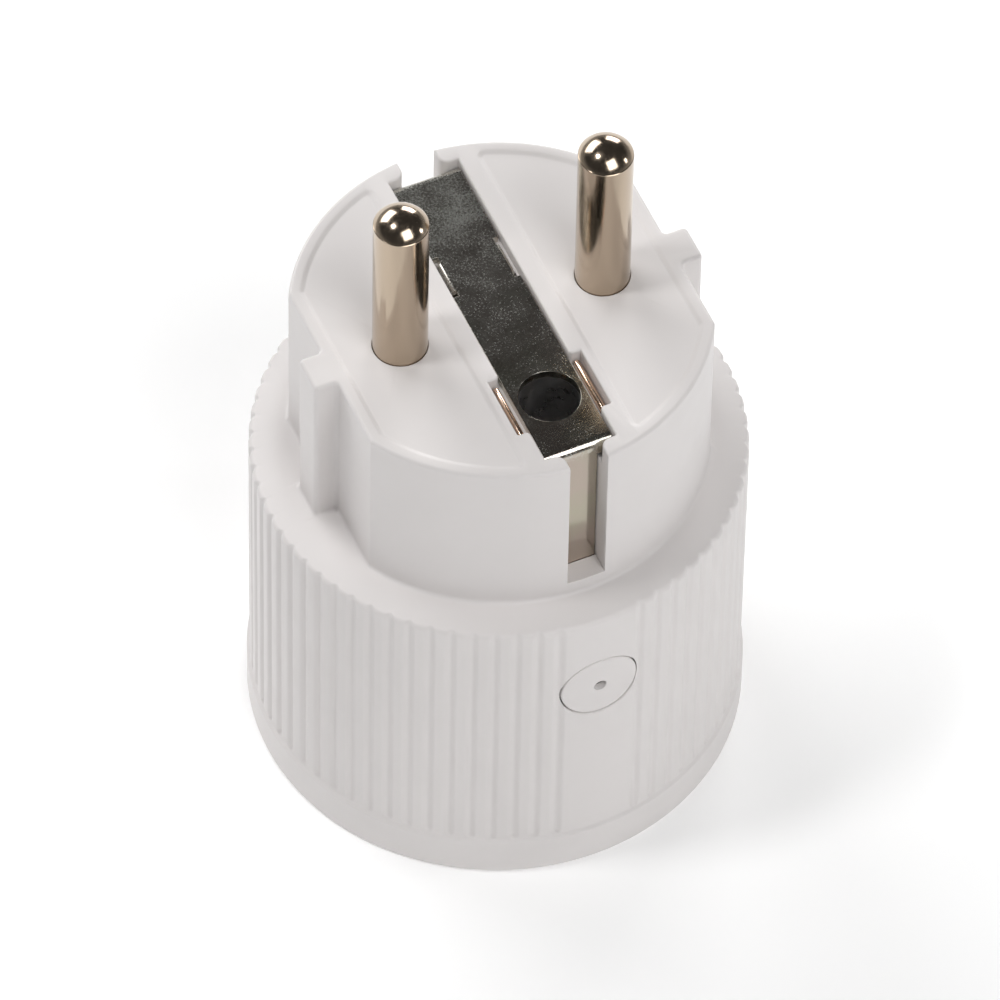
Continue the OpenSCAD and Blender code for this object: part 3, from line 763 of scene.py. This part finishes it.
def face_panel(side):
    """Cutter for the shallow D-shaped panel around one pin."""
    inset = 1.15
    inner = 5.1
    radius = NOSE_R - inset
    flat = FLAT_X - inset
    start = math.acos(inner / radius)
    end = math.acos(flat / radius)
    points = [(inner, -radius * math.sin(start), 0.5)]
    fillet_room = 0.055
    count = 48
    for k in range(count):
        turn = -(start - fillet_room) + (start - fillet_room - end) * k / count
        points.append((radius * math.cos(turn), radius * math.sin(turn), 0))
    points.append((flat, -radius * math.sin(end), 0.6))
    whole = points + [(x, -y, r) for x, y, r in reversed(points)]
    depth = radius * math.sin(start)
    count = 24
    for k in range(1, count):
        whole.append((inner, depth * (1 - 2 * k / count), 0))
    outline = rounded(whole)
    soft = 0.28
    pin = Vector((PIN_X, 0))
    hub = [(pin, (point - pin).normalized()) for point, _ in outline]
    rings = [offset_ring(hub, PIN_R - 0.2, FACE_Z)]
    steps = 8
    for k in range(steps + 1):
        share = k / steps
        climb = 0.5 - 0.5 * math.cos(math.pi * 0.96 * share)
        rings.append(offset_ring(outline, soft * (2 * share - 1), FACE_Z + (RIM_Z - FACE_Z) * climb))
    rings.append(offset_ring(outline, soft * 1.5, RIM_Z + HAIR))
    cutter = stack("panel", rings)
    if side < 0:
        cutter.data.transform(Matrix.Rotation(math.pi, 4, "Z"))
    return cutter


def button_hole():
    """Cutter through the sleeve whose mouth is rounded along the curved surface."""
    radius = BUTTON_R + 0.13
    depth = 2.5
    lip = 0.16
    rings = []
    for grow, height in [(0, -depth)] + flare(lip):
        ring = []
        for point, _ in circle(0, 0, radius + grow, 128):
            y = -math.sqrt((SLEEVE_R + height) ** 2 - point.x ** 2)
            ring.append(Vector((point.x, y, BUTTON_Z + point.y)))
        rings.append(ring)
    rings.append([Vector((point.x, -BAND_R - 1, point.z)) for point in rings[-1]])
    return stack("button_hole", rings)


def clip_window():
    """Cutter for the two openings through which the clip's arms reach the earth hole."""
    reach = 5
    half = 0.95
    low = BORE_LOW + 6
    return box("window", (-reach, EARTH_Y - half, low), (reach, EARTH_Y + half, low + 4))


def housing():
    """The whole moulding: its skin with the walls and bosses inside, then every opening cut into it."""
    overlap = 0.5
    body = housing_shell()
    added = [prism("well", circle(0, EARTH_Y, 3.45), 34.5, ROOF_Z + overlap)]
    for x, y in SCREWS:
        added.append(prism("boss", circle(x, y, 2.6), BOARD_TOP, SHOULDER_UNDER + overlap))
    for side in (-1, 1):
        added.append(prism("pin_collar", circle(side * PIN_X, 0, 4.6), ROOF_Z - COLLAR_H, ROOF_Z + overlap))
        low_y, high_y = sorted((side * 14.1, side * 17.2))
        added.append(box("slot_wall", (-3.33, low_y, SHOULDER_UNDER), (3.33, high_y, ROOF_Z + overlap)))
    weld(body, *added)
    holes = strap_seat()
    holes.append(prism("well_bore", circle(0, EARTH_Y, EARTH_R + SLEEVE_T), BORE_LOW, STRAP_UNDER + overlap))
    holes.append(clip_window())
    for side in (-1, 1):
        holes.append(face_panel(side))
        holes.append(prism("collar_space", circle(side * PIN_X, 0, COLLAR_R + 0.1), ROOF_Z - 2, ROOF_Z))
        pin_hole = circle(side * PIN_X, 0, PIN_R + 0.03)
        holes.append(flared("pin_hole", pin_hole, ROOF_Z - overlap, FACE_Z, 0.08))
    for x, y in SCREWS:
        holes.append(prism("screw_hole", circle(x, y, 1.15, 48), BOARD_TOP - 1, SHOULDER_UNDER - 0.7))
    holes.append(button_hole())
    cut(body, *holes)
    return place(body, "housing", "white_shell", "plug_housing", angle=28)


# ---------- plug metalwork ----------

def plug_pin(node, x):
    """Turned pin: collar and riveted tail inside, straight shaft, and a domed end set in by a fine line."""
    dome_h = 1.35
    joint = pin_high.z - dome_h
    dome_r = (PIN_R ** 2 + dome_h ** 2) / (2 * dome_h)
    centre = pin_high.z - dome_r
    tail = pin_low.z
    tail_top = tail + 0.6
    neck_r = 1.5
    collar_low = ROOF_Z - COLLAR_H
    profile = [(0, tail)] + chamfered(2.0, tail, tail_top) + [(neck_r, tail_top), (neck_r, collar_low)]
    profile += chamfered(COLLAR_R, collar_low, ROOF_Z) + [(PIN_R, ROOF_Z), (PIN_R, FACE_Z)]
    profile += [(PIN_R, joint - 0.1), (PIN_R - 0.015, joint - 0.04)]
    profile += [(PIN_R - 0.06, joint), (PIN_R - 0.09, joint + 0.01)]
    foot = math.degrees(math.asin((joint + 0.02 - centre) / dome_r))
    profile += arc(0, centre, dome_r, foot + 1.2, 90, 28)
    profile[-1] = (0, pin_high.z)
    return place(lathe(node, profile, centre=(x, 0, 0), count=128), "housing", "pin_nickel", node)


def earth_sleeve():
    """Lining of the earth hole, let into the wall so that the bore keeps its size."""
    gap = 0.02
    low, high = BORE_LOW + gap, STRAP_UNDER - 0.1
    inner = circle(0, EARTH_Y, EARTH_R)
    outer = circle(0, EARTH_Y, EARTH_R + SLEEVE_T - gap)
    rings = [offset_ring(inner, 0, low), offset_ring(inner, 0, high)]
    rings += [offset_ring(outer, 0, high), offset_ring(outer, 0, low)]
    obj = cut(stack("earth_hole_sleeve", rings, closed=True), clip_window())
    return place(obj, "housing", "shield_steel")


# ---------- refined CAD pieces ----------

def refined(node, body, slot, bevel, segments=2, first=None):
    """Copy of a CAD node's shape as clean faces with softened edges; first may shape the mesh beforehand."""
    source = frame["nodes"][node]
    bm = bmesh.new()
    bm.from_mesh(source.data)
    bm.transform(Matrix.Scale(1 / MM, 4))
    bmesh.ops.remove_doubles(bm, verts=bm.verts[:], dist=0.0005)
    bmesh.ops.dissolve_limit(
        bm, angle_limit=math.radians(0.5), verts=bm.verts[:], edges=bm.edges[:], delimit={"NORMAL"}
    )
    if first:
        first(bm)
    sharp = math.radians(30)
    edges = []
    for edge in bm.edges:
        if len(edge.link_faces) == 2 and edge.calc_face_angle(0) > sharp:
            edges.append(edge)
    bmesh.ops.bevel(
        bm, geom=edges, offset=bevel, segments=segments, profile=0.5, affect="EDGES", clamp_overlap=True
    )
    return place(new_object(node, bm), body, slot, node, angle=40)


def fold_tabs(bm):
    """Round the upper outer edge of the strap's two folded tabs."""
    tab_x = 2.95
    near = 0.02
    edges = []
    for edge in bm.edges:
        middle = (edge.verts[0].co + edge.verts[1].co) / 2
        along = abs(edge.verts[0].co.y - edge.verts[1].co.y)
        if along > 2 and abs(abs(middle.x) - tab_x) < near and abs(middle.z - STRAP_TOP) < near:
            edges.append(edge)
    bmesh.ops.bevel(bm, geom=edges, offset=0.48, segments=7, profile=0.5, affect="EDGES")


# ---------- button ----------

def button():
    """Disc that follows the sleeve's curve, with a flange, a stem and a hole for the light."""
    face = SLEEVE_R - 0.05
    flange = -19.7
    flange_end = flange + 0.8
    hole = 0.58
    lip = 0.14
    rings = []

    def curved(radius, depth):
        ring = []
        for point, _ in circle(0, 0, radius, 128):
            y = -math.sqrt((face + depth) ** 2 - point.x ** 2)
            ring.append(Vector((point.x, y, BUTTON_Z + point.y)))
        return ring

    def flat(radius, y):
        return [Vector((p.x, y, BUTTON_Z + p.y)) for p, _ in circle(0, 0, radius, 128)]

    rings.append(flat(hole, flange_end))
    rings.append(curved(hole, -0.06))
    rings.append(curved(hole + 0.015, -0.015))
    rings.append(curved(hole + 0.06, 0))
    for radius in (1.2, 2.0, 2.8, BUTTON_R - lip):
        rings.append(curved(radius, 0))
    for k in range(1, STEPS + 1):
        turn = math.pi / 2 * k / STEPS
        rings.append(curved(BUTTON_R - lip + lip * math.sin(turn), -lip * (1 - math.cos(turn))))
    rings.append(flat(BUTTON_R, flange))
    for radius, y in chamfered(FLANGE_R, flange, flange_end):
        rings.append(flat(radius, y))
    obj = stack("power_button", rings, closed=True)
    stem_r = 1.1
    stem_low, stem_high = flange + 0.4, button_high.y
    profile = [(0, stem_low), (stem_r, stem_low), (stem_r, stem_high - 0.1)]
    profile += [(stem_r - 0.1, stem_high), (0, stem_high)]
    weld(obj, lathe("stem", profile, centre=(0, 0, BUTTON_Z - 2.8), axis="Y", count=48))
    return place(obj, "button", "white_shell", "power_button")


def light_pipe():
    """Clear rod with rounded ends in the button's hole."""
    radius = 0.57
    soft = 0.1
    low, high = pipe_low.y, pipe_high.y
    profile = [(0, low)] + arc(radius - soft, low + soft, soft, -90, 0, 3)
    profile += arc(radius - soft, high - soft, soft, 0, 90, 3) + [(0, high)]
    obj = lathe("light_pipe", profile, centre=(0, 0, (pipe_low.z + pipe_high.z) / 2), axis="Y", count=48)
    return place(obj, "button", "clear", "light_pipe")


# ---------- shutter spring ----------

def shutter_spring():
    """Coil with closed ends that gets shorter as the shutter opens."""
    wire = 0.2
    radius = 1.25
    turns = 9
    low = spring_low.y + wire
    high = spring_high.y - wire
    centre_z = (spring_low.z + spring_high.z) / 2
    steps = 28 * turns
    sides = 10
    closed = 0.8 / turns
    inset = 0.02
    rings = []
    for k in range(steps + 1):
        share = k / steps
        turn = 2 * math.pi * turns * share
        climb = min(1, max(0, (share - closed) / (1 - 2 * closed)))
        wound_on = min(share, closed) / closed - 1 + max(0, share - 1 + closed) / closed
        y = low + inset + (high - low - 2 * inset) * climb + 1.1 * wire * wound_on
        y = min(high, max(low, y))
        out = Vector((math.cos(turn), 0, math.sin(turn)))
        ring = []
        for s in range(sides):
            a = 2 * math.pi * s / sides
            point = out * (radius + wire * math.cos(a)) + Vector((0, y + wire * math.sin(a), centre_z))
            ring.append(point)
        rings.append(ring)
    obj = place(stack("shutter_spring", rings), "housing", "spring_steel", "shutter_spring")
    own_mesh(obj)
    return obj


# ---------- stage ----------

LIGHTS = {
    # name: (azimuth and elevation in degrees, width and height in metres, power in watts)
    "key": (278, 48, 0.56, 0.56, 4.8),
    "back": (108, 32, 0.70, 0.50, 5.6),
    "right": (50, 20, 0.45, 0.35, 3.6),
    "left": (166, 64, 0.14, 0.14, 2.4),
    "side": (337, 20, 0.12, 0.12, 0.8),
}
LIGHT_DISTANCE = 1.0
HORIZON = 0.40                 # grey of the studio at the horizon
ZENITH = 0.05                  # grey of the studio overhead
DARK_FROM = 0.34               # height in the sky where the overhead grey begins


def stage_floor():
    """Wide pale floor under the plug."""
    bm = bmesh.new()
    bmesh.ops.create_grid(bm, x_segments=1, y_segments=1, size=3)
    floor = new_object("floor", bm)
    m = Nodes("pale_floor")
    m.set(Base_Color=m.ramp(m.noise(40, detail=2), (0.3, 0.93), (0.7, 0.95)), Roughness=0.85)
    m.set(Emission_Color=(1, 1, 1, 1), Emission_Strength=0.16)
    floor.data.materials.append(m.material)


def direction(azimuth, elevation):
    """Unit vector to a point seen at an azimuth from +X and an elevation."""
    a, e = math.radians(azimuth), math.radians(elevation)
    return Vector((math.cos(a) * math.cos(e), math.sin(a) * math.cos(e), math.sin(e)))


def softbox(name, azimuth, elevation, width, height, power):
    """Rectangular light that faces the middle of the plug."""
    light = bpy.data.lights.new(name, "AREA")
    light.shape = "RECTANGLE"
    light.size = width
    light.size_y = height
    light.energy = power
    obj = bpy.data.objects.new(name, light)
    target = Vector((0, 0, 0.04))
    obj.location = target + direction(azimuth, elevation) * LIGHT_DISTANCE
    obj.rotation_euler = (obj.location - target).to_track_quat("Z", "Y").to_euler()
    bpy.context.scene.collection.objects.link(obj)


def world():
    """Dark studio that turns pale towards the horizon."""
    studio = bpy.data.worlds.new("studio")
    studio.use_nodes = True
    tree = studio.node_tree
    coordinates = tree.nodes.new("ShaderNodeTexCoord")
    separate = tree.nodes.new("ShaderNodeSeparateXYZ")
    tree.links.new(coordinates.outputs["Generated"], separate.inputs[0])
    ramp = tree.nodes.new("ShaderNodeValToRGB")
    for element, position, grey in zip(ramp.color_ramp.elements, (0.0, DARK_FROM), (HORIZON, ZENITH)):
        element.position = position
        element.color = (grey, grey, grey, 1)
    tree.links.new(separate.outputs["Z"], ramp.inputs["Fac"])
    tree.links.new(ramp.outputs["Color"], tree.nodes["Background"].inputs["Color"])
    bpy.context.scene.world = studio


def camera():
    """Camera at the photograph's viewing angle."""
    turn = math.radians(-25.1)
    lift = math.radians(52.75)
    roll = math.radians(1.15)
    distance = 1.08
    aim = Vector((-5.35, -11.9, 42.3)) * MM
    back = Vector((math.sin(turn) * math.cos(lift), -math.cos(turn) * math.cos(lift), math.sin(lift)))
    level = Vector((math.cos(turn), math.sin(turn), 0))
    upright = back.cross(level)
    right = level * math.cos(roll) + upright * math.sin(roll)
    up = back.cross(right)
    data = bpy.data.cameras.new("camera")
    data.lens = 454
    data.sensor_width = 36
    obj = bpy.data.objects.new("camera", data)
    matrix = Matrix((right, up, back)).transposed().to_4x4()
    obj.matrix_world = Matrix.Translation(aim + back * distance) @ matrix
    bpy.context.scene.collection.objects.link(obj)
    bpy.context.scene.camera = obj


# ---------- build ----------

PLAIN_PIECES = {
    "socket_cup": ("housing", "white_inner", 0.12),
    "socket_earth_bracket": ("housing", "bronze", 0.06),
    "earth_rivet": ("housing", "pin_nickel", 0.08),
    "line_contact": ("housing", "bronze", 0.06),
    "neutral_contact": ("housing", "bronze", 0.06),
    "safety_shutter": ("shutter", "shutter_white", 0.15),
    "main_board": ("housing", "board_green", 0.04),
    "relay_base": ("housing", "black_plastic", 0.1),
    "relay_case": ("housing", "relay_blue", 0.2),
    "relay_coil": ("housing", "coil_copper", 0.1),
    "relay_yoke": ("housing", "soft_iron", 0.06),
    "relay_armature": ("armature", "soft_iron", 0.06),
    "relay_fixed_contact": ("housing", "bronze", 0.06),
    "wifi_board": ("housing", "radio_board", 0.04),
    "wifi_shield": ("housing", "shield_steel", 0.15),
    "button_board": ("housing", "board_green", 0.04),
    "switch_body": ("housing", "black_plastic", 0.12),
    "switch_plunger": ("plunger", "plunger", 0.08),
    "status_led": ("housing", "led_white", 0.08),
    "input_capacitor": ("housing", "can_sleeve", 0.1),
    "filter_capacitor": ("housing", "can_sleeve", 0.1),
    "output_capacitor": ("housing", "can_blue", 0.1),
    "choke": ("housing", "ferrite", 0.12),
    "varistor": ("housing", "varistor_blue", 0.3),
    "fuse_resistor": ("housing", "resistor_body", 0.1),
    "bridge_rectifier": ("housing", "black_plastic", 0.05),
    "power_regulator": ("housing", "black_plastic", 0.05),
    "neutral_busbar": ("housing", "bronze", 0.1),
    "line_lead": ("housing", "lead_red", 0.05),
    "housing_screws": ("housing", "screw_steel", 0.08),
}

housing()
plug_pin("line_pin", -PIN_X)
plug_pin("neutral_pin", PIN_X)
refined("earth_strap", "housing", "strap_nickel", bevel=0.07, segments=3, first=fold_tabs)
refined("earth_pin_clip", "housing", "bronze", bevel=0.08)
earth_sleeve()
button()
light_pipe()
shutter_spring()
for node, (body, slot, bevel) in PLAIN_PIECES.items():
    refined(node, body, slot, bevel)

bpy.context.scene.view_settings.view_transform = "Standard"
stage_floor()
world()
for name, light in LIGHTS.items():
    softbox(name, *light)
camera()
